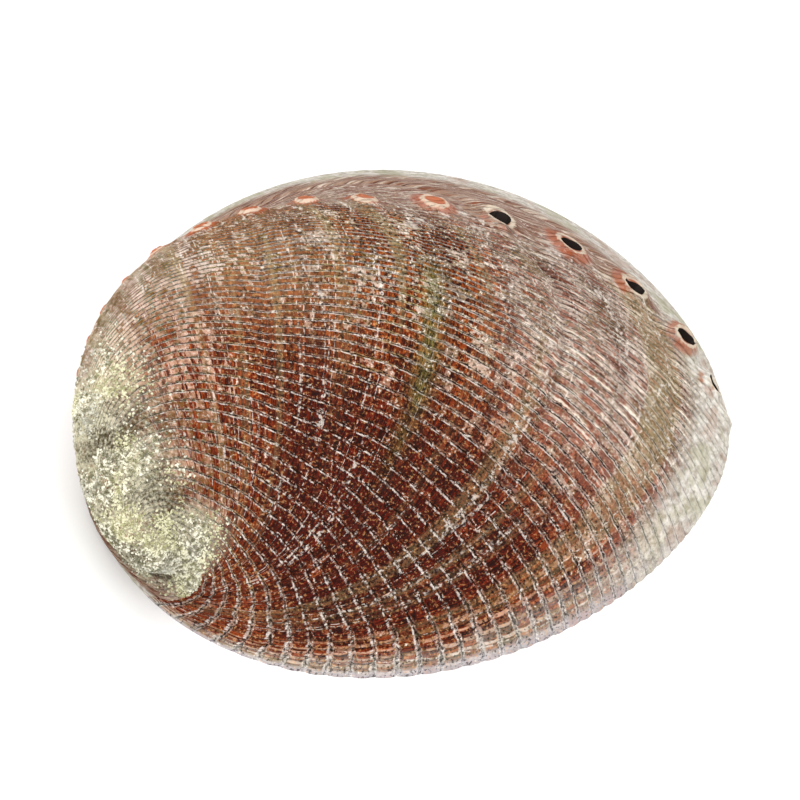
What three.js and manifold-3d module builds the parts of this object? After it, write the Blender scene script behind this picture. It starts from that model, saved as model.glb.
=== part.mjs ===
// Abalone shell: one limy shell that grew as a sheet along a logarithmic spiral.
// Millimetres, +Z up, resting on its rim at z = 0, anterior end towards +X,
// pore row along the +Y side. The origin is the centre of its footprint.
import * as THREE from 'three';
import { mergeVertices } from 'three/addons/utils/BufferGeometryUtils.js';
import Module from 'manifold-3d';

// Rim outline, seen from above
const RIM_HALF_LENGTH = 43.6;
const RIM_HALF_WIDTH = 33.5;
const RIM_EGG = -6.9;            // rounds the posterior end
const RIM_TAPER = -0.475;        // narrows the anterior end
const RIM_SKEW = -1.8;
const RIM_BOW = 3.6;

// Growth spiral: the rim turned about this axis and shrank towards the nucleus
const NUCLEUS = new THREE.Vector3(-37.8, -30.0, 17.8);
const AXIS_TILT = 0.708;
const AXIS_HEADING = -1.793;
const GROWTH_RATE = 0.6925;      // shrinkage for each radian of turn
const OUTER_TURN = 5.2;          // radians of growth that the outer sheet goes back
const HOLLOW_TURN = 3.1;         // and the hollow, which ends before the spire
const CROWN_DRIFT_X = -7.0;
const CROWN_DRIFT_Y = 3.9;
const CROWN_SOFTENING = 0.0665;  // share of its height that the nucleus loses

// Wall
const LIP_WALL = 1.7;
const SHELF_WIDTH = 6.0;         // flat columellar shelf inside the pore row
const SHELF_CENTRE = 0.28;       // its middle, as a share of the way round the rim
const SHELF_SPREAD = 0.14;
const HOLLOW_INSET = new THREE.Vector3(1.0, 2.0, -1.8);

// Respiratory pores that are still open, newest first
const PORE_TURNS = [0.03, 0.07, 0.13, 0.21, 0.33];
const PORE_PLACES = [0.037, 0.071, 0.1, 0.117, 0.125];
const PORE_RADIUS = 1.25;
const PORE_PLUG_LENGTH = 9.0;
const PORE_SIDES = 12;

// Facets
const ROUND_STEPS = 88;
const OUTER_RINGS = 30;
const HOLLOW_RINGS = 21;
const RING_CROWDING = 1.35;      // rings crowd together towards the rim
const TANGENT_STEP = 0.01;

const SHELL_COLOUR = 0x7d4a3a;
const FULL_TURN = 2 * Math.PI;
const UP_THE_PLUG = new THREE.Vector3(0, 1, 0);
const COILING_AXIS = new THREE.Vector3(
  Math.sin(AXIS_TILT) * Math.cos(AXIS_HEADING),
  Math.sin(AXIS_TILT) * Math.sin(AXIS_HEADING),
  Math.cos(AXIS_TILT),
);

// One rim for the outside of the wall, counter-clockwise seen from above.
function rimPoint(round) {
  const across = Math.cos(round);
  const along = Math.sin(round);
  const twice = Math.cos(2 * round);
  const x = RIM_HALF_LENGTH * across + RIM_EGG * twice;
  const y = RIM_HALF_WIDTH * along * (1 + RIM_TAPER * across) + RIM_SKEW * twice + RIM_BOW * across;
  return new THREE.Vector3(x, y, 0);
}

// The wall is thin round the lip and widens into the flat columellar shelf.
function rimWidth(round) {
  const away = (round / FULL_TURN - SHELF_CENTRE) / SHELF_SPREAD;
  return LIP_WALL + (SHELF_WIDTH - LIP_WALL) * Math.exp(-away * away);
}

function innerRimPoint(round) {
  const ahead = rimPoint(round + TANGENT_STEP);
  const run = ahead.sub(rimPoint(round - TANGENT_STEP)).normalize();
  const inward = new THREE.Vector3(-run.y, run.x, 0);
  return rimPoint(round).addScaledVector(inward, rimWidth(round));
}

// Flattens the crown a little and lets it drift sideways with height.
function settleCrown(point) {
  const rise = point.z / NUCLEUS.z;
  point.x += CROWN_DRIFT_X * rise * rise;
  point.y += CROWN_DRIFT_Y * rise * rise;
  point.z *= 1 - CROWN_SOFTENING * rise;
  return point;
}

// Where a rim point lay when the shell was younger by this much turn.
function grownPoint(rim, nucleus, turn) {
  const point = rim.clone().sub(nucleus);
  point.applyAxisAngle(COILING_AXIS, turn);
  point.multiplyScalar(Math.exp(-GROWTH_RATE * turn));
  return settleCrown(point.add(nucleus));
}

// The rings of one spiral sheet, from the rim back towards the nucleus.
function sheetRings(rim, nucleus, lastTurn, ringCount) {
  const rings = [];
  for (let ring = 0; ring < ringCount; ring += 1) {
    const turn = lastTurn * (ring / (ringCount - 1)) ** RING_CROWDING;
    const points = [];
    for (let step = 0; step < ROUND_STEPS; step += 1) {
      points.push(grownPoint(rim((FULL_TURN * step) / ROUND_STEPS), nucleus, turn));
    }
    rings.push(points);
  }
  return rings;
}

function middleOf(points) {
  const middle = new THREE.Vector3();
  points.forEach((point) => middle.add(point));
  return middle.divideScalar(points.length);
}

// One closed sleeve: up the hollow's sheet, across the flat rim, up the outer sheet.
function plainWall() {
  const hollowNucleus = NUCLEUS.clone().add(HOLLOW_INSET);
  const hollow = sheetRings(innerRimPoint, hollowNucleus, HOLLOW_TURN, HOLLOW_RINGS).reverse();
  const outside = sheetRings(rimPoint, NUCLEUS, OUTER_TURN, OUTER_RINGS);
  const rings = [...hollow, ...outside];
  const points = [...rings.flat(), middleOf(hollow[0]), middleOf(outside[OUTER_RINGS - 1])];
  const outerTip = points.length - 1;
  const hollowTip = outerTip - 1;
  const lastRing = (rings.length - 1) * ROUND_STEPS;
  const faces = [];
  for (let step = 0; step < ROUND_STEPS; step += 1) {
    const next = (step + 1) % ROUND_STEPS;
    faces.push(hollowTip, next, step);
    faces.push(outerTip, lastRing + step, lastRing + next);
    for (let low = 0; low < lastRing; low += ROUND_STEPS) {
      const high = low + ROUND_STEPS;
      faces.push(low + step, low + next, high + next);
      faces.push(low + step, high + next, high + step);
    }
  }
  return toSolid(points.flatMap((point) => point.toArray()), faces);
}

function toSolid(corners, faces) {
  const mesh = new wasm.Mesh({
    numProp: 3,
    vertProperties: Float32Array.from(corners),
    triVerts: Uint32Array.from(faces),
  });
  return new wasm.Manifold(mesh);
}

// A round plug through the wall, square to the surface, for one open pore.
function porePlug(turn, place) {
  const round = place * FULL_TURN;
  const at = grownPoint(rimPoint(round), NUCLEUS, turn);
  const older = grownPoint(rimPoint(round), NUCLEUS, turn + TANGENT_STEP);
  const beside = grownPoint(rimPoint(round + TANGENT_STEP), NUCLEUS, turn);
  const outward = beside.sub(at).cross(older.sub(at)).normalize();
  const plug = new THREE.CylinderGeometry(PORE_RADIUS, PORE_RADIUS, PORE_PLUG_LENGTH, PORE_SIDES);
  plug.deleteAttribute('normal');
  plug.deleteAttribute('uv');
  const closed = mergeVertices(plug);
  closed.applyQuaternion(new THREE.Quaternion().setFromUnitVectors(UP_THE_PLUG, outward));
  closed.translate(at.x, at.y, at.z);
  return toSolid(closed.attributes.position.array, closed.index.array);
}

function shellWall() {
  let wall = plainWall();
  for (let pore = 0; pore < PORE_TURNS.length; pore += 1) {
    wall = wall.subtract(porePlug(PORE_TURNS[pore], PORE_PLACES[pore]));
  }
  return wall;
}

function shellMesh() {
  const { vertProperties, triVerts } = shellWall().getMesh();
  const geometry = new THREE.BufferGeometry();
  geometry.setAttribute('position', new THREE.BufferAttribute(vertProperties, 3));
  geometry.setIndex(new THREE.BufferAttribute(triVerts, 1));
  geometry.computeBoundingBox();
  const middle = geometry.boundingBox.getCenter(new THREE.Vector3());
  geometry.translate(-middle.x, -middle.y, -geometry.boundingBox.min.z);
  geometry.computeVertexNormals();
  const material = new THREE.MeshStandardMaterial({ color: SHELL_COLOUR, roughness: 0.6, metalness: 0 });
  const mesh = new THREE.Mesh(geometry, material);
  mesh.name = 'shell';
  return mesh;
}

const wasm = await Module();
wasm.setup();

const abaloneShell = new THREE.Group();
abaloneShell.add(shellMesh());

export default abaloneShell;
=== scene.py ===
import math

import bpy
from mathutils import Matrix, Vector


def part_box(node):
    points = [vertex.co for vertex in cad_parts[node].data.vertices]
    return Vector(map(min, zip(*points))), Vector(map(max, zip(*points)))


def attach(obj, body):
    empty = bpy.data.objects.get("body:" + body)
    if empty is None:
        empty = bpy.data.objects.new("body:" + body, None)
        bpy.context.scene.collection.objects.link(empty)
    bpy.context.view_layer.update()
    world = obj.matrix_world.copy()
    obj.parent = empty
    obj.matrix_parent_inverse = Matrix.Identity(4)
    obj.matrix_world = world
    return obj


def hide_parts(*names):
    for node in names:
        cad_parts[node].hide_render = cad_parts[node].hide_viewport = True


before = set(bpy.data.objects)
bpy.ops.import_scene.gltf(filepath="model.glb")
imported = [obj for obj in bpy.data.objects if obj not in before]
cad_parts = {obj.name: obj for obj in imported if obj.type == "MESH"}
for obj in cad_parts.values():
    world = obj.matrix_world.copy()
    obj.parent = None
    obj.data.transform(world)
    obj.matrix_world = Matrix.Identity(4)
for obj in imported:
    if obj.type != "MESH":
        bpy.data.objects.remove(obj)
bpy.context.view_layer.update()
shell_low, shell_high = (Vector(corner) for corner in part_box("shell"))

# ---------------------------------------------------------------------------
# The camera looks down on the back of the shell from the spire side, through
# a long lens, so that the breathing pores run along the top of the view.
# ---------------------------------------------------------------------------
CAMERA_HEADING = -0.4627
CAMERA_ELEVATION = 1.0534
CAMERA_ROLL = 0.4705
CAMERA_REACH = 0.45
VIEW_ANGLE = 0.2256
AIM = Vector((-0.0019, -0.0018, 0.008))

backward = Vector((
    math.sin(CAMERA_HEADING) * math.cos(CAMERA_ELEVATION),
    -math.cos(CAMERA_HEADING) * math.cos(CAMERA_ELEVATION),
    math.sin(CAMERA_ELEVATION),
))
level = Vector((math.cos(CAMERA_HEADING), math.sin(CAMERA_HEADING), 0.0))
upright = backward.cross(level)
camera_right = level * math.cos(CAMERA_ROLL) + upright * math.sin(CAMERA_ROLL)
camera_up = upright * math.cos(CAMERA_ROLL) - level * math.sin(CAMERA_ROLL)
camera = bpy.data.objects.new("camera", bpy.data.cameras.new("camera"))
bpy.context.scene.collection.objects.link(camera)
turn_to_view = Matrix((camera_right, camera_up, backward)).transposed().to_4x4()
camera.matrix_world = Matrix.Translation(AIM + backward * CAMERA_REACH) @ turn_to_view
camera.data.angle = VIEW_ANGLE
camera.data.clip_start = 0.01
bpy.context.scene.camera = camera

# ---------------------------------------------------------------------------
# The shell is one limy wall that grew along a spiral: its rim turned about a
# leaning axis and shrank towards the nucleus. Cords run along the growth,
# growth lines run across it, and a row of pores was left on one shoulder.
# ---------------------------------------------------------------------------
# Lengths are metres. A turn is an angle in radians back in time, and a place is a
# share of the way round the rim.
RULE = {
    "Half length": 0.0436,
    "Half width": 0.0335,
    "Egg": -0.0069,
    "Taper": -0.475,
    "Skew": -0.0018,
    "Bow": 0.0036,
    "Nucleus": Vector((-0.0378, -0.0300, 0.0178)),
    "Coiling axis": Vector((
        math.sin(0.708) * math.cos(-1.793),
        math.sin(0.708) * math.sin(-1.793),
        math.cos(0.708),
    )),
    "Growth rate": 0.6925,
    "Crown drift X": -0.0070,
    "Crown drift Y": 0.0039,
    "Crown softening": 0.0665,
    "Outer turn": 5.2,
    "Hollow turn": 3.1,
    "Lip wall": 0.0013,
    "Shelf width": 0.0060,
    "Shelf centre": 0.28,
    "Shelf spread": 0.14,
    "Hollow inset": Vector((0.0010, 0.0020, -0.0018)),
    "Pore length": 0.0017,
    "Pore width": 0.0012,
    "Plug depth": 0.009,
    "Open pore mound": 0.00090,
    "Open pore collar": 0.00040,
    "Closed pore mound": 0.00130,
    "Closed pore collar": 0.00045,
    "Closed pore cup": 0.00035,
    "Cord height": 0.00050,
    "Fold height": 0.0009,
    "Crust lump": 0.0007,
    "Shoulder height": 0.0007,
    "Lip notch": 0.0010,
    "Lip corner": 0.0008,
    "Suture depth": 0.0007,
    "Columns": 360,
    "Outer rows": 236,
    "Hollow rows": 28,
    "Footprint": (shell_low + shell_high) / 2,
}
SEAM = 0.58               # where the sheet's seam lies round the rim, by the spire
BACK_SPAN = 0.55          # share of the rim that bears the corded back
BACK_COLUMNS = 0.86       # share of the columns that the corded back takes
CORDS = 104               # cords there would be all round the rim
PORE_SLOPE = 1.2          # how far the pores' ovals lean along the growth
TURN_LENGTH = 0.095       # metres along the back for each unit of turn
PLACE_LENGTH = 0.150      # metres along the rim for each unit of place
STOPS = [                 # grooves where growth stopped: turn, width in turn, depth
    (0.335, 0.012, 0.00035),
    (0.125, 0.008, 0.00025),
    (0.57, 0.014, 0.00030),
    (0.83, 0.014, 0.00015),
]
# Pores, each by the turn and the place round the rim at which it was made.
OPEN_PORES = [(0.03, 1.033), (0.07, 1.07), (0.13, 1.105), (0.21, 1.13), (0.33, 1.136)]
CLOSED_PORES = [
    (0.44, 1.142), (0.60, 1.127), (0.74, 1.118), (0.91, 1.088), (1.08, 1.052),
    (1.23, 1.085), (1.38, 1.095), (1.54, 1.081), (1.70, 1.07), (1.86, 1.065),
]


class Flow:
    """One value in a node tree. Arithmetic on it adds Math nodes to the tree."""

    def __init__(self, tree, socket):
        self.tree = tree
        self.socket = socket

    def maths(self, operation, *others):
        return node(self.tree, "ShaderNodeMath", self, *others, operation=operation)

    def __add__(self, other):
        return self.maths("ADD", other)

    def __mul__(self, other):
        return self.maths("MULTIPLY", other)

    def __sub__(self, other):
        return self.maths("SUBTRACT", other)

    def __rsub__(self, other):
        return (self * -1.0) + other

    def __truediv__(self, other):
        return self.maths("DIVIDE", other)

    def __pow__(self, other):
        return self.maths("POWER", other)

    def __neg__(self):
        return self * -1.0

    __radd__ = __add__
    __rmul__ = __mul__


def node(tree, kind, *values, out=0, given=None, **settings):
    """Adds a node, plugs or sets its inputs in order or by name, and returns one output."""
    made = tree.nodes.new(kind)
    for name, setting in settings.items():
        setattr(made, name, setting)
    pairs = list(zip(made.inputs, values))
    pairs += [(made.inputs[name], value) for name, value in (given or {}).items()]
    for socket, value in pairs:
        if isinstance(value, Flow):
            tree.links.new(value.socket, socket)
        elif value is not None:
            socket.default_value = value
    return Flow(tree, made.outputs[out])


def split(vector):
    """The X, Y and Z of a vector flow."""
    parted = node(vector.tree, "ShaderNodeSeparateXYZ", vector).socket.node
    return [Flow(vector.tree, socket) for socket in parted.outputs]


def joined(tree, x=0.0, y=0.0, z=0.0):
    """A vector flow from its X, Y and Z."""
    return node(tree, "ShaderNodeCombineXYZ", x, y, z)


def vector_sum(a, b, operation="ADD"):
    """The sum of two vectors, or another operation on them."""
    return node(a.tree, "ShaderNodeVectorMath", a, b, operation=operation)


def scaled(vector, size):
    """The vector times a number."""
    return node(
        vector.tree, "ShaderNodeVectorMath", vector, operation="SCALE", given={"Scale": size},
    )


def ramp(flow, low, high):
    """0 below low, 1 above high, smooth between; low may be the larger."""
    if low < high:
        return node(
            flow.tree, "ShaderNodeMapRange", flow, low, high, interpolation_type="SMOOTHSTEP",
        )
    return 1.0 - ramp(flow, high, low)


def hump(flow, centre, spread):
    """1 at the centre, falling off smoothly on both sides."""
    away = (flow - centre) / spread
    return (-(away * away)).maths("EXPONENT")


def noise(vector, scale, detail=2.0, roughness=0.5):
    """Smooth random values round 0.5."""
    given = {"Scale": scale, "Detail": detail, "Roughness": roughness}
    return node(vector.tree, "ShaderNodeTexNoise", vector, given=given)


def grown_point(rule, place, turn, inside):
    """Where the rim point at this place lay when the shell was younger by this turn."""
    tree = place.tree
    angle = place * math.tau
    across = angle.maths("COSINE")
    along = angle.maths("SINE")
    across2 = (angle * 2.0).maths("COSINE")
    along2 = (angle * 2.0).maths("SINE")
    x = rule["Half length"] * across + rule["Egg"] * across2
    y = rule["Half width"] * along * (1.0 + rule["Taper"] * across)
    y = y + rule["Skew"] * across2 + rule["Bow"] * across
    run_x = -(rule["Half length"] * along) - rule["Egg"] * along2 * 2.0
    run_y = rule["Half width"] * (across + rule["Taper"] * across2)
    run_y = run_y - rule["Skew"] * along2 * 2.0 - rule["Bow"] * along
    run = (run_x * run_x + run_y * run_y) ** 0.5
    shelf = hump(place.maths("FRACT"), rule["Shelf centre"], rule["Shelf spread"])
    width = inside * (rule["Lip wall"] + (rule["Shelf width"] - rule["Lip wall"]) * shelf)
    rim = joined(tree, x - run_y / run * width, y + run_x / run * width)
    nucleus = vector_sum(rule["Nucleus"], scaled(rule["Hollow inset"], inside))
    spoke = vector_sum(rim, nucleus, "SUBTRACT")
    given = {"Axis": rule["Coiling axis"], "Angle": turn}
    turned = node(tree, "ShaderNodeVectorRotate", spoke, given=given)
    shrunk = scaled(turned, (rule["Growth rate"] * turn * -1.0).maths("EXPONENT"))
    return softened(rule, vector_sum(shrunk, nucleus))


def softened(rule, point):
    """The point after the crown's lean and its softening, which grow with the height."""
    x, y, z = split(point)
    rise = z / split(rule["Nucleus"])[2]
    x = x + rule["Crown drift X"] * rise * rise
    y = y + rule["Crown drift Y"] * rise * rise
    return joined(point.tree, x, y, z * (1.0 - rule["Crown softening"] * rise))


def youth(turn):
    """How small the shell was at this turn, as a share of its full size."""
    return (turn * -RULE["Growth rate"]).maths("EXPONENT")


def cord_phase(place, turn):
    """Counts the cords round the shell; they bend near the pore row and wander a little."""
    bow = ((turn - 0.45) * (turn - 0.45) * 0.22).maths("MINIMUM", 0.06)
    wander = noise(joined(place.tree, place * 14.0, turn * 4.0), 1.0, 1.0)
    return (place + bow * ramp(place, 0.70, 0.95)) * CORDS + (wander - 0.5) * 0.6


def pore_gap(place, turn, pores):
    """Distance in metres to the nearest of these pores."""
    nearest = None
    for pore_turn, pore_place in pores:
        back = (turn - pore_turn) * TURN_LENGTH
        side = (place - pore_place) * PLACE_LENGTH
        squared = back * back + side * side + back * side * PORE_SLOPE
        nearest = squared if nearest is None else nearest.maths("MINIMUM", squared)
    return nearest ** 0.5 * youth(turn)


def as_flows(tree):
    """The tree's own inputs, by name."""
    entry = tree.nodes.new("NodeGroupInput")
    return {socket.name: Flow(tree, socket) for socket in entry.outputs if socket.name}


def new_geometry_tree(name, inputs):
    """A geometry tree with one named input for each size, and a geometry in and out."""
    kinds = {float: "NodeSocketFloat", int: "NodeSocketInt", Vector: "NodeSocketVector"}
    tree = bpy.data.node_groups.new(name, "GeometryNodeTree")
    tree.interface.new_socket(name="Geometry", in_out="OUTPUT", socket_type="NodeSocketGeometry")
    tree.interface.new_socket(name="Geometry", in_out="INPUT", socket_type="NodeSocketGeometry")
    for label, value in inputs.items():
        tree.interface.new_socket(name=label, in_out="INPUT", socket_type=kinds[type(value)])
    return tree


def grow_mesh(name, tree, inputs, start):
    """Runs a geometry tree on a mesh and keeps the result as a plain mesh object."""
    host = bpy.data.objects.new(name + "_host", start)
    bpy.context.scene.collection.objects.link(host)
    modifier = host.modifiers.new(name, "NODES")
    modifier.node_group = tree
    sockets = {i.name: i.identifier for i in tree.interface.items_tree if i.in_out == "INPUT"}
    for label, value in inputs.items():
        modifier[sockets[label]] = value
    graph = bpy.context.evaluated_depsgraph_get()
    mesh = bpy.data.meshes.new_from_object(host.evaluated_get(graph), depsgraph=graph)
    bpy.data.objects.remove(host)
    mesh.name = name
    grown = bpy.data.objects.new(name, mesh)
    bpy.context.scene.collection.objects.link(grown)
    return grown


def store(geometry, name, value, kind="FLOAT", domain="POINT"):
    """Keeps a value on the mesh, under a name."""
    return node(
        geometry.tree, "GeometryNodeStoreNamedAttribute", geometry,
        data_type=kind, domain=domain, given={"Name": name, "Value": value},
    )


def pore_relief(rule, place, turn):
    """Raised collars round the pores on a row of low mounds; a closed pore is a shallow cup."""
    size = youth(turn)
    open_gap = pore_gap(place, turn, OPEN_PORES)
    shut_gap = pore_gap(place, turn, CLOSED_PORES) / size
    mounds = hump(open_gap, 0.0, 0.0032) * rule["Open pore mound"]
    mounds = mounds + hump(shut_gap, 0.0, 0.0034) * rule["Closed pore mound"] * size
    collars = hump(open_gap, 0.0019, 0.00050) * rule["Open pore collar"]
    collars = collars + hump(shut_gap, 0.0019, 0.00050) * rule["Closed pore collar"] * size
    cups = hump(shut_gap, 0.0, 0.0012) * rule["Closed pore cup"] * size
    return mounds + collars - cups


def crust_cover(place, turn):
    """Where the limy crust lies: over the oldest turns and beside the spire."""
    cover = ramp(turn, 1.35, 2.10) * ramp(place, 0.95, 0.80)
    cover = cover.maths("MAXIMUM", ramp(turn, 1.75, 2.2))
    cover = cover.maths("MAXIMUM", ramp(place, 1.30, 1.42) * ramp(turn, 0.30, 0.50))
    return cover.maths("MAXIMUM", ramp(turn, 0.95, 1.45) * ramp(place, 0.660, 0.615))


def back_relief(rule, place, turn):
    """Height of the outer surface over the plain sheet, in metres."""
    tree = place.tree
    size = youth(turn)
    phase = cord_phase(place, turn)
    ridge = (phase * math.pi).maths("SINE").maths("ABSOLUTE") ** 0.8
    bold = ramp(place, 0.60, 0.66) * ramp(place, 1.13, 1.08)
    bold = bold * (ramp(place, 0.90, 0.80) * 0.55 + 0.45)
    knots = noise(joined(tree, phase.maths("FLOOR") * 3.7, turn * 26.0), 1.0, 2.0)
    cords = (ridge - 0.6) * bold * (knots * 0.9 + 0.55) * rule["Cord height"] * size
    rings = noise(joined(tree, place * 3.0, turn * 11.0), 1.0, 2.0, 0.5)
    folds = (rings - 0.5) * rule["Fold height"] * size
    stops = place * 0.0
    for stop_turn, width, depth in STOPS:
        stops = stops + hump(turn, stop_turn, width) * depth
    suture = hump(place, 0.612, 0.010) * size * rule["Suture depth"] * ramp(turn, 0.05, 0.3)
    lumps = noise(node(tree, "GeometryNodeInputPosition"), 900.0, 3.0, 0.6)
    lumps = (lumps - 0.5) * crust_cover(place, turn) * rule["Crust lump"]
    shoulder = hump(turn, 0.30, 0.10) * ramp(place, 1.13, 1.17) * rule["Shoulder height"]
    lip = hump(place, 1.0, 0.010) * rule["Lip corner"]
    lip = lip - hump(place, 1.045, 0.018) * rule["Lip notch"]
    folds = folds + shoulder + lip * ramp(turn, 0.05, 0.0) * 1.2
    return cords + folds + lumps - stops - suture + pore_relief(rule, place, turn)


def attribute(tree, name, kind="FLOAT"):
    """Reads back a value kept on the mesh."""
    return node(tree, "GeometryNodeInputNamedAttribute", name, data_type=kind)


def mixed(share, low, high):
    """The point at this share of the way from one point to another."""
    tree = share.tree
    made = node(tree, "ShaderNodeMix", data_type="VECTOR", out=1).socket.node
    for socket, flow in ((made.inputs[0], share), (made.inputs[4], low), (made.inputs[5], high)):
        tree.links.new(flow.socket, socket)
    return Flow(tree, made.outputs[1])


def rows_evenly(share, rule, last_turn):
    """Turn at this share of the way from the rim to the last turn, so that rows lie evenly."""
    left = 1.0 - (rule["Growth rate"] * last_turn * -1.0).maths("EXPONENT")
    return -((1.0 - share * left).maths("LOGARITHM", math.e)) / rule["Growth rate"]


def sheet_grid(tree, rule):
    """A grid whose points carry their place round the rim, their turn and their side."""
    rows = rule["Outer rows"] + rule["Hollow rows"]
    sizes = {"Size X": 1.0, "Size Y": 1.0, "Vertices X": rule["Columns"] + 1.0, "Vertices Y": rows}
    grid = node(tree, "GeometryNodeMeshGrid", given=sizes)
    grid_x, grid_y, _ = split(node(tree, "GeometryNodeInputPosition"))
    column = grid_x + 0.5
    row = ((grid_y + 0.5) * (rows - 1.0)).maths("ROUND")
    place = (column / BACK_COLUMNS).maths("MINIMUM", 1.0) * BACK_SPAN + SEAM
    front = ((column - BACK_COLUMNS) / (1.0 - BACK_COLUMNS)).maths("MAXIMUM", 0.0)
    place = place + front * (1.0 - BACK_SPAN)
    inside = row.maths("GREATER_THAN", rule["Outer rows"] - 0.5)
    outer_share = (1.0 - row / (rule["Outer rows"] - 1.0)).maths("MAXIMUM", 0.0)
    hollow_share = ((row - rule["Outer rows"]) / (rule["Hollow rows"] - 1.0)).maths("MAXIMUM", 0.0)
    outer_turn = rows_evenly(outer_share, rule, rule["Outer turn"])
    hollow_turn = rows_evenly(hollow_share, rule, rule["Hollow turn"])
    last = row.maths("LESS_THAN", 0.5) + row.maths("GREATER_THAN", rows - 1.5)
    carried = {"place": place, "turn": outer_turn * (1.0 - inside) + hollow_turn * inside}
    carried |= {"inside": inside, "last": last.maths("MINIMUM", 1.0)}
    for name, value in carried.items():
        grid = store(grid, name, value)
    return grid


def sheet_tips(rule, inside):
    """The two points where the outer sheet and the hollow close, on the coiling axis."""
    return softened(rule, vector_sum(rule["Nucleus"], scaled(rule["Hollow inset"], inside * 2.0)))


def pore_plugs(tree, rule, shift):
    """One oval plug for each open pore, square to the wall."""
    line = node(tree, "GeometryNodeMeshLine", given={"Count": len(OPEN_PORES)})
    number = node(tree, "GeometryNodeInputIndex")
    place = number * 0.0
    turn = number * 0.0
    for pore, (pore_turn, pore_place) in enumerate(OPEN_PORES):
        here = number.maths("COMPARE", float(pore), 0.1)
        place = place + here * pore_place
        turn = turn + here * pore_turn
    outside = number * 0.0
    here = grown_point(rule, place, turn, outside)
    older = vector_sum(grown_point(rule, place, turn + 0.01, outside), here, "SUBTRACT")
    beside = vector_sum(grown_point(rule, place + 0.002, turn, outside), here, "SUBTRACT")
    outward = vector_sum(beside, older, "CROSS_PRODUCT")
    points = store(line, "outward", outward, "FLOAT_VECTOR")
    points = store(points, "older", older, "FLOAT_VECTOR")
    points = node(tree, "GeometryNodeSetPosition", points, given={"Position": vector_sum(here, shift)})
    sizes = {"Vertices": 20, "Radius Top": 1.1, "Radius Bottom": 0.8, "Depth": 1.0}
    plug = node(tree, "GeometryNodeMeshCone", given=sizes)
    plug = node(tree, "GeometryNodeTransform", plug, given={"Translation": (0.0, 0.0, -0.5)})
    facing = node(
        tree, "FunctionNodeAlignRotationToVector", axis="Z",
        given={"Vector": attribute(tree, "outward", "FLOAT_VECTOR")},
    )
    facing = node(
        tree, "FunctionNodeAlignRotationToVector", axis="X", pivot_axis="Z",
        given={"Rotation": facing, "Vector": attribute(tree, "older", "FLOAT_VECTOR")},
    )
    plug_size = joined(tree, rule["Pore length"], rule["Pore width"], rule["Plug depth"])
    given = {"Instance": plug, "Rotation": facing, "Scale": plug_size}
    placed = node(tree, "GeometryNodeInstanceOnPoints", points, given=given)
    return node(tree, "GeometryNodeRealizeInstances", placed)


sheet = new_geometry_tree("abalone_sheet", RULE)
rule = as_flows(sheet)
carried = sheet_grid(sheet, rule)
place = attribute(sheet, "place")
turn = attribute(sheet, "turn")
inside = attribute(sheet, "inside")
last = attribute(sheet, "last")
at = mixed(last, grown_point(rule, place, turn, inside), sheet_tips(rule, inside))
plain = node(sheet, "GeometryNodeSetPosition", carried, given={"Position": at})
plain = store(plain, "growth", joined(sheet, place, turn), "FLOAT2", "CORNER")
plain = store(plain, "relief", back_relief(rule, place, turn) * (1.0 - inside))
bounds = node(sheet, "GeometryNodeBoundBox", plain, out=1).socket.node
middle = scaled(vector_sum(Flow(sheet, bounds.outputs[1]), Flow(sheet, bounds.outputs[2])), 0.5)
shift_x, shift_y, _ = split(vector_sum(rule["Footprint"], middle, "SUBTRACT"))
shift = joined(sheet, shift_x, shift_y)
centred = node(sheet, "GeometryNodeSetPosition", plain, given={"Offset": shift})
closed = node(sheet, "GeometryNodeMergeByDistance", centred, given={"Distance": 3.0e-6})
closed = node(sheet, "GeometryNodeFlipFaces", closed)
rim_share = ramp(turn, 0.0, 0.05) * 0.5 + 0.5
push = scaled(node(sheet, "GeometryNodeInputNormal"), attribute(sheet, "relief") * rim_share)
carved = node(sheet, "GeometryNodeSetPosition", closed, given={"Offset": push})
x, y, z = split(node(sheet, "GeometryNodeInputPosition"))
grounded = joined(sheet, x, y, z.maths("MAXIMUM", 0.0))
carved = node(sheet, "GeometryNodeSetPosition", carved, given={"Position": grounded})


def tint(code):
    """A linear colour from a six-figure colour code."""
    parts = [int(code[i:i + 2], 16) / 255 for i in (0, 2, 4)]
    parts = [((part + 0.055) / 1.055) ** 2.4 if part > 0.04 else part / 12.92 for part in parts]
    return (*parts, 1.0)


def painted(under, over, share, blend_type="MIX"):
    """One colour over another, by a share; each is a colour code or a flow."""
    kind = {"data_type": "RGBA", "blend_type": blend_type}
    made = node(share.tree, "ShaderNodeMix", out=2, **kind).socket.node
    share.tree.links.new(share.socket, made.inputs[0])
    for socket, colour in ((made.inputs[6], under), (made.inputs[7], over)):
        if isinstance(colour, Flow):
            share.tree.links.new(colour.socket, socket)
        else:
            socket.default_value = tint(colour)
    return Flow(share.tree, made.outputs[2])


def new_material(name, **settings):
    """A material with its own Principled shader, and that shader's inputs set by name."""
    material = bpy.data.materials.new(name)
    material.use_nodes = True
    shader = material.node_tree.nodes["Principled BSDF"]
    for label, value in settings.items():
        shader.inputs[label.replace("_", " ")].default_value = value
    return material, material.node_tree, shader


back, paint, back_shader = new_material("shell_back", Specular_IOR_Level=0.10)


def chart_noise(sideways, backward_in_time, detail=3.0, roughness=0.6):
    """Noise that follows the growth: one value runs across the cords, the other along them."""
    return noise(joined(paint, sideways, backward_in_time), 1.0, detail, roughness)


chart = node(paint, "ShaderNodeUVMap", uv_map="growth")
place, turn, _ = split(chart)
size = youth(turn)
spot = node(paint, "ShaderNodeTexCoord", out=3)
grit = noise(spot, 2600.0, 3.0, 0.6)
ragged = noise(spot, 1400.0, 3.0, 0.6)
blotch = noise(spot, 170.0, 4.0, 0.65)
patch = noise(spot, 60.0, 3.0, 0.6)

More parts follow.
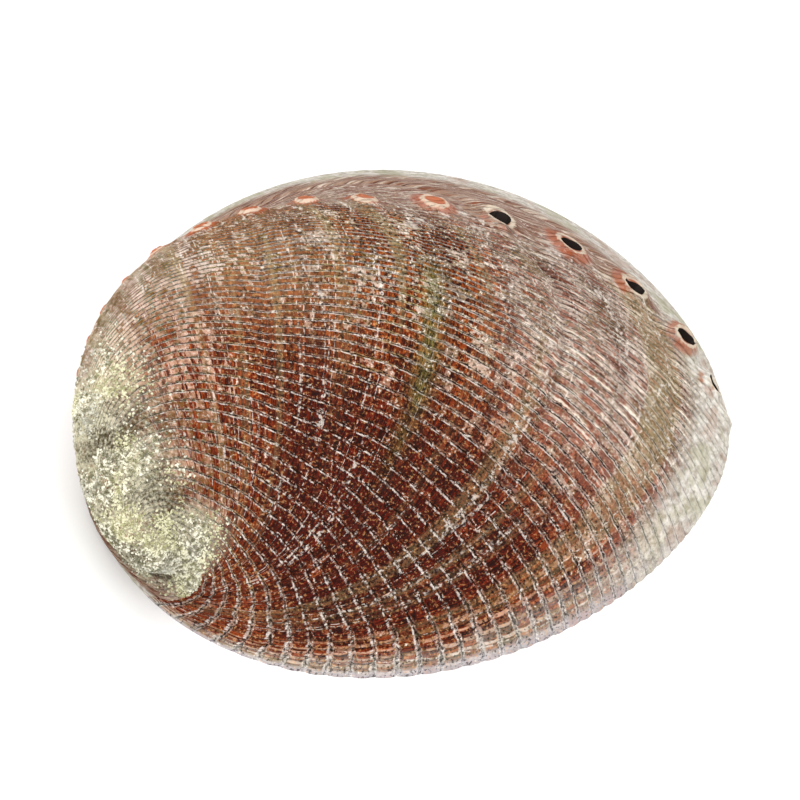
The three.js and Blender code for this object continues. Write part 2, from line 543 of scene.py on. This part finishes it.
# Each cord has a number, and runs from -1 on one side to 1 on the other.
phase = cord_phase(place, turn) + (ragged - 0.5) * 0.30
cord = phase.maths("FLOOR")
across = (phase - cord) * 2.0 - 1.0
off_crest = across.maths("ABSOLUTE")
blocks = chart_noise(cord * 7.3, turn * 30.0)
wide_blocks = chart_noise(phase * 0.22, turn * 12.0)
growth = chart_noise(place * 2.5, turn * 34.0, 5.0, 0.7)
striae = chart_noise(phase * 0.9, turn * 330.0, 2.0, 0.7)
beads = chart_noise(cord * 2.7, turn * 75.0, 2.0)
old_bands = chart_noise(place * 1.5, turn * 17.0, 2.0, 0.5)
bands = chart_noise(place * 1.1, turn * 10.0, 2.0, 0.5)
streaks = chart_noise(phase * 2.2, turn * 14.0)
edge_marks = chart_noise(place * 90.0, turn * 70.0, 3.0, 0.7)
own_width = (chart_noise(cord * 5.3, turn * 5.0, 1.0, 0.5) - 0.5) * 0.7

# Zones of the back, from the front edge to the spire.
low_side = ramp(place, 0.92, 0.74)
far_side = ramp(place, 1.06, 1.14)
old = ramp(turn, 1.00, 1.35)
new_edge = ramp(turn + (patch - 0.5) * 0.10, 0.12, 0.05)
new_edge = new_edge * (ramp(place, 0.76, 0.90) * 0.75 + 0.25)
young_zone = ramp(place, 0.76, 0.90) * ramp(turn, 0.52, 0.30)
deep = ramp(place, 0.86, 0.74) * ramp(place, 0.62, 0.66)
deep = deep * ramp(turn, 0.08, 0.24) * ramp(turn, 1.10, 0.80)
faded = ramp(place, 0.76, 0.88) * ramp(turn, 0.62, 0.95)
streaky = (young_zone + far_side).maths("MINIMUM", 1.0)
calm = 1.0 - new_edge * 0.6 - far_side * 0.5 - faded * 0.3 - young_zone * 0.5 - old * 0.55

# The ground between the cords.
ground = painted("4e3a2b", "dccabb", ramp(growth * 0.5 + blotch * 0.2 + ragged * 0.3, 0.30, 0.66))
ground = painted(ground, "bdb2b0", low_side * ramp(turn, 0.5, 0.2) * 0.45)
olive = ramp(blotch, 0.48, 0.62) * ramp(turn, 0.35, 0.6)
ground = painted(ground, "a8924e", olive * (0.75 - old * 0.4))
ground = painted(ground, "83927a", old * ramp(old_bands, 0.46, 0.54) * 0.9)
ground = painted(ground, "9a786c", old * ramp(old_bands, 0.50, 0.42) * 0.85)
ground = painted(ground, "96705a", far_side * 0.75)
ground = painted(ground, painted("2c0c02", "8e4a20", ragged), deep * 0.85)

# The cords, in blocks of red and blocks of the paler gap tone.
crest = ramp(off_crest + own_width - low_side * 0.06, 0.74, 0.62)
crest = crest * (1.0 - young_zone * 0.3 - far_side * 0.6)
red_share = low_side * 0.26 + 0.50 - young_zone * 0.24 - far_side * 0.15 - old * 0.40 - new_edge * 0.4
red_cut = blocks * 0.6 + wide_blocks * 0.4 + (ragged - 0.5) * 0.3
red = ramp(red_cut + red_share * 0.30, 0.60, 0.64)
red_tone = painted("2c0a02", "9a4414", ramp(striae * 0.6 + beads * 0.4, 0.42, 0.60))
red_tone = painted(red_tone, "c0763a", ramp(beads, 0.56, 0.68) * 0.40)
red_tone = painted(red_tone, painted("180300", "702606", ramp(striae, 0.40, 0.64)), deep * 0.9)
red_tone = painted(red_tone, "a85c44", young_zone * 0.6)
red_tone = painted(red_tone, "a07650", faded * 0.55)
gap_tone = painted("7a5c2c", "d6bfb0", ramp(blotch * 0.6 + ragged * 0.4, 0.40, 0.60))
gap_tone = painted(gap_tone, "8c4c20", deep * 0.6)
knobs = (turn * 200.0 + (beads + blotch) * 4.0).maths("SINE") * ramp(turn, 0.24, 0.12) * low_side
crest_tone = painted(gap_tone, red_tone, red * ramp(knobs, 0.75, 0.35))
colour = painted(ground, crest_tone, crest)
red = red * crest
stain = deep.maths("MAXIMUM", low_side * 0.6 * ramp(turn, 0.04, 0.12))
colour = painted(colour, "eba474", stain, "MULTIPLY")
colour = painted(colour, "70361f", ramp(streaks, 0.50, 0.60) * streaky * 0.8)
pale_streaks = ramp(streaks, 0.43, 0.36) * streaky
colour = painted(colour, "fff2e0", pale_streaks * (0.75 - far_side * 0.30))

# A pale thread on one side of each cord, partly a real pale line and partly a painted highlight, and
# dark grooves between them, partly real dark lines and partly painted shade.
thread_and_glint = ramp(across, 0.50, 0.64) * ramp(across, 0.90, 0.78)
thread_and_glint = thread_and_glint * ramp(chart_noise(cord * 3.1, turn * 38.0, 3.0, 0.7), 0.44, 0.58)
thread_and_glint_share = 0.55 + low_side * 0.30 - deep * 0.05 - old * 0.2 - far_side * 0.3
# The pale thread is painted: partly the cord's own pale line, partly a painted highlight on its edge.
colour = painted(colour, "f6ebe2", thread_and_glint * thread_and_glint_share)
# Near-black groove lines between the cords: partly real dark lines, partly painted shade in the grooves.
groove_and_shade = ramp(off_crest, 0.84, 0.95)
groove_and_shade = groove_and_shade * ramp(chart_noise(cord * 5.7, turn * 38.0, 3.0, 0.7), 0.42, 0.54)
side_line = hump(across, -0.68, 0.09)
side_line = side_line * ramp(chart_noise(cord * 4.9, turn * 31.0, 3.0, 0.7), 0.46, 0.58)
colour = painted(colour, "120704", groove_and_shade.maths("MAXIMUM", side_line) * (1.0 - far_side * 0.5))

# Growth bands and growth lines, across the cords.
colour = painted(colour, "2c180c", ramp(growth, 0.36, 0.26) * 0.6)
rust_zone = (1.0 - far_side - new_edge * 0.8 - old).maths("MAXIMUM", 0.0)
colour = painted(colour, "3a1206", ramp(bands, 0.52, 0.60) * rust_zone * 0.32)
olive_zone = (1.0 - far_side - low_side * 0.5).maths("MAXIMUM", 0.0)
colour = painted(colour, "a39468", ramp(bands, 0.45, 0.38) * olive_zone * 0.35)
pale_lines = (chart_noise(place * 1.8, turn * 15.0, 2.0, 0.5) - 0.5).maths("ABSOLUTE")
colour = painted(colour, "f6ece0", ramp(pale_lines, 0.016, 0.004) * ramp(ragged, 0.48, 0.60) * 0.6)
green_band = hump(turn, 0.575, 0.022) * ramp(place, 0.72, 0.82) * ramp(place, 0.99, 0.94)
green_band = green_band * ramp(blotch, 0.3, 0.5)
green_tone = painted("4d4a22", "8b9150", ramp(striae, 0.40, 0.60))
colour = painted(colour, green_tone, green_band * 0.5)
rest_line = hump(turn, 0.335, 0.006) * ramp(place, 0.74, 0.80) * ramp(place, 0.98, 0.93)
colour = painted(colour, "4c2a18", rest_line * 0.35)

# The newest edge.
edge_tone = painted("a89f90", "f4f1e8", ramp(edge_marks * 0.6 + ragged * 0.4, 0.32, 0.62))
edge_tone = painted(edge_tone, "a9aa86", ramp(blotch, 0.48, 0.60) * 0.6)
edge_tone = painted(edge_tone, "b89684", ramp(blotch, 0.46, 0.36) * 0.5)
colour = painted(colour, "c6bfc6", ramp(turn, 0.040, 0.012) * low_side * 0.7)
colour = painted(colour, edge_tone, new_edge * 0.8)

# Grit: pale specks, partly real grit and partly painted glints, dark specks, and a patch of chalk by the
# newer pores.
pale_grit_and_glints = ramp(grit, 0.57, 0.65) * (0.75 - red * 0.2 - deep * 0.2) * calm
colour = painted(colour, painted("fff8ee", "dda56a", red), pale_grit_and_glints)
colour = painted(colour, "0e0502", ramp(grit, 0.44, 0.37) * 0.9 * calm)
colour = painted(colour, "240600", ramp(grit * 0.6 + beads * 0.4, 0.50, 0.42) * deep * 0.75)
chalk = ramp(patch * 0.5 + blotch * 0.5, 0.56, 0.62) * hump(place, 1.08, 0.06) * hump(turn, 0.42, 0.20)
colour = painted(colour, "f4efe6", chalk * ramp(grit, 0.36, 0.46) * 0.9)

# Rusty skin round the pores, salmon in the closed ones, and a pale ring on each.
shut_gap = pore_gap(place, turn, CLOSED_PORES)
gap = pore_gap(place, turn, OPEN_PORES).maths("MINIMUM", shut_gap / (size * 0.4 + 0.6))
colour = painted(colour, "a4502c", ramp(gap, 0.0036, 0.0026) * ramp(blotch, 0.46, 0.58) * 0.7)
colour = painted(colour, "c2704c", ramp(shut_gap, 0.0021, 0.0014) * 0.9)
ring = ramp(gap + (ragged - 0.5) * 0.0012, 0.0021, 0.0018) * ramp(gap, 0.0012, 0.0015)
colour = painted(colour, "e6d8c2", ring * 0.72)

# The crust's own colours, under its grains.
crusted = crust_cover(place, turn) * ramp(patch * 0.6 + ragged * 0.4, 0.36, 0.50)
crust_tone = painted("4f4a34", "dad6bb", ramp(grit * 0.5 + blotch * 0.5, 0.36, 0.58))
crust_tone = painted(crust_tone, "cfcaa6", ramp(blotch, 0.50, 0.60) * 0.6)
crust_tone = painted(crust_tone, "8f8a86", ramp(patch, 0.56, 0.64) * 0.6)
colour = painted(colour, crust_tone, crusted * 0.85)
paint.links.new(colour.socket, back_shader.inputs["Base Color"])
dullness = 0.60 - red * 0.15 - thread_and_glint * 0.15 + crusted * 0.25
paint.links.new(dullness.socket, back_shader.inputs["Roughness"])
fine_relief = striae * 0.35 + thread_and_glint * 0.8 - groove_and_shade * 0.9 + grit * 0.6 + growth * 0.8
bump = node(
    paint, "ShaderNodeBump", given={"Strength": 1.0, "Distance": 0.00016, "Height": fine_relief},
)
paint.links.new(bump.socket, back_shader.inputs["Normal"])

nacre, pearl, nacre_shader = new_material(
    "shell_nacre", Specular_IOR_Level=0.7, Coat_Weight=0.6, Coat_Roughness=0.08,
    Metallic=0.25, Roughness=0.22,
)
spot = node(pearl, "ShaderNodeTexCoord", out=3)
swirl = noise(spot, 38.0, 3.0, 0.6)
ripple = noise(spot, 160.0, 4.0, 0.6)
hue = swirl * 2.6 + ripple * 0.9
green_wave = (hue * math.tau).maths("SINE") * 0.5 + 0.5
pink_wave = (hue * math.tau * 0.5 + 1.7).maths("SINE") * 0.5 + 0.5
pearly = painted("c9cfc4", "8fb7ad", green_wave * 0.8)
pearly = painted(pearly, "c795a8", pink_wave * 0.45)
pearly = painted(pearly, "8f97b5", ramp(ripple, 0.52, 0.68) * 0.5)
pearl.links.new(pearly.socket, nacre_shader.inputs["Base Color"])
dents = node(pearl, "ShaderNodeBump", given={"Strength": 0.5, "Distance": 0.0004, "Height": ripple})
pearl.links.new(dents.socket, nacre_shader.inputs["Normal"])

# The open pores' walls are painted near-black brown: painted shade inside the holes, not the shell's own
# colour.
bore, _, bore_shader = new_material("pore_bore_painted_shade", Specular_IOR_Level=0.1, Roughness=0.8)
bore_shader.inputs["Base Color"].default_value = tint("2a2320")

outer_look = node(sheet, "GeometryNodeSetMaterial", carved, given={"Material": back})
in_hollow = inside.maths("GREATER_THAN", 0.6)
given = {"Selection": in_hollow, "Material": nacre}
both_looks = node(sheet, "GeometryNodeSetMaterial", outer_look, given=given)
plugs = pore_plugs(sheet, rule, shift)
plugs = node(sheet, "GeometryNodeSetMaterial", plugs, given={"Material": bore})
pierced = node(
    sheet, "GeometryNodeMeshBoolean", operation="DIFFERENCE", solver="MANIFOLD",
    given={"Mesh 1": both_looks, "Mesh 2": plugs},
)
gentle = node(sheet, "GeometryNodeInputMeshEdgeAngle").maths("LESS_THAN", 1.1)
smooth = node(sheet, "GeometryNodeSetShadeSmooth", pierced, domain="FACE")
smooth = node(sheet, "GeometryNodeSetShadeSmooth", smooth, domain="EDGE", given={"Shade Smooth": gentle})
sheet.links.new(smooth.socket, sheet.nodes.new("NodeGroupOutput").inputs[0])
shell = grow_mesh("abalone_shell", sheet, RULE, bpy.data.meshes.new("abalone_start"))
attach(shell, "root")
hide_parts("shell")

# ---------------------------------------------------------------------------
# The crust is a thin coat of limy grains that settled on the oldest turns and
# round the spire. The grains are small lumps, half sunk into the shell.
# ---------------------------------------------------------------------------
CRUST = {
    "Grains per square metre": 1.5e7,
    "Smallest grain": 0.00008,
    "Largest grain": 0.00024,
    "Seed": 7,
}
crust_look, crust_paint, crust_shader = new_material(
    "crust_grains", Specular_IOR_Level=0.1, Roughness=0.85,
)
spot = node(crust_paint, "ShaderNodeTexCoord", out=3)
speck = noise(spot, 1500.0, 2.0)
cloud = noise(spot, 140.0, 3.0)
grain_tone = painted("77745a", "eeebd8", ramp(speck, 0.38, 0.60))
grain_tone = painted(grain_tone, "b5b3a6", ramp(cloud, 0.52, 0.64) * 0.6)
grain_tone = painted(grain_tone, "d3cf9c", ramp(cloud, 0.50, 0.40) * 0.5)
crust_paint.links.new(grain_tone.socket, crust_shader.inputs["Base Color"])
grains = new_geometry_tree("crust_grains", CRUST)
sizes = as_flows(grains)
chart_place, chart_turn, _ = split(attribute(grains, "growth", "FLOAT_VECTOR"))
cover = crust_cover(chart_place, chart_turn) * attribute(grains, "inside").maths("LESS_THAN", 0.1)
cloud = noise(node(grains, "GeometryNodeInputPosition"), 160.0, 2.0)
density = sizes["Grains per square metre"] * cover * ramp(cloud, 0.36, 0.56)
scattered = node(
    grains, "GeometryNodeDistributePointsOnFaces", sizes["Geometry"], distribute_method="RANDOM",
    given={"Density": density, "Seed": sizes["Seed"]},
)
grain = node(grains, "GeometryNodeMeshIcoSphere", given={"Radius": 1.0, "Subdivisions": 1})
spin = node(
    grains, "FunctionNodeRandomValue", data_type="FLOAT_VECTOR", given={"Max": (6.28, 6.28, 6.28)},
)
smallest = joined(grains, *[sizes["Smallest grain"]] * 3)
largest = joined(grains, *[sizes["Largest grain"]] * 3)
width = node(
    grains, "FunctionNodeRandomValue", data_type="FLOAT_VECTOR", given={"Min": smallest, "Max": largest},
)
strewn = node(
    grains, "GeometryNodeInstanceOnPoints", scattered,
    given={"Instance": grain, "Rotation": spin, "Scale": width},
)
strewn = node(grains, "GeometryNodeRealizeInstances", strewn)
strewn = node(grains, "GeometryNodeSetMaterial", strewn, given={"Material": crust_look})
grains.links.new(strewn.socket, grains.nodes.new("NodeGroupOutput").inputs[0])
crust = grow_mesh("limy_crust", grains, CRUST, shell.data)
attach(crust, "root")

# ---------------------------------------------------------------------------
# The floor is a wide pale sheet, and isn't part of the shell. The light is soft,
# from above, from the front right and low from the left, like a studio's.
# ---------------------------------------------------------------------------
floor_mesh = bpy.data.meshes.new("floor")
floor_mesh.from_pydata([(-2, -2, 0), (2, -2, 0), (2, 2, 0), (-2, 2, 0)], [], [(0, 1, 2, 3)])
floor = bpy.data.objects.new("floor", floor_mesh)
bpy.context.scene.collection.objects.link(floor)
floor_look, _, floor_shader = new_material("floor_white", Roughness=0.9)
floor_shader.inputs["Base Color"].default_value = (0.93, 0.93, 0.93, 1.0)
floor_mesh.materials.append(floor_look)


def soft_light(name, place, width, power):
    """A square lamp that faces the shell."""
    lamp = bpy.data.objects.new(name, bpy.data.lights.new(name, "AREA"))
    lamp.data.size = width
    lamp.data.energy = power
    lamp.location = place
    lamp.rotation_euler = (Vector((0, 0, 0)) - Vector(place)).to_track_quat("-Z", "Y").to_euler()
    bpy.context.scene.collection.objects.link(lamp)


soft_light("key", (-0.20, 0.10, 0.65), 0.50, 3.2)
soft_light("fill", (0.40, -0.40, 0.60), 0.70, 2.0)
soft_light("low_fill", (-0.55, -0.30, 0.35), 0.50, 1.6)
world = bpy.data.worlds.new("studio")
bpy.context.scene.world = world
world.use_nodes = True
world.node_tree.nodes["Background"].inputs["Color"].default_value = (1.0, 1.0, 1.0, 1.0)
world.node_tree.nodes["Background"].inputs["Strength"].default_value = 0.55
bpy.context.scene.view_settings.view_transform = "Standard"
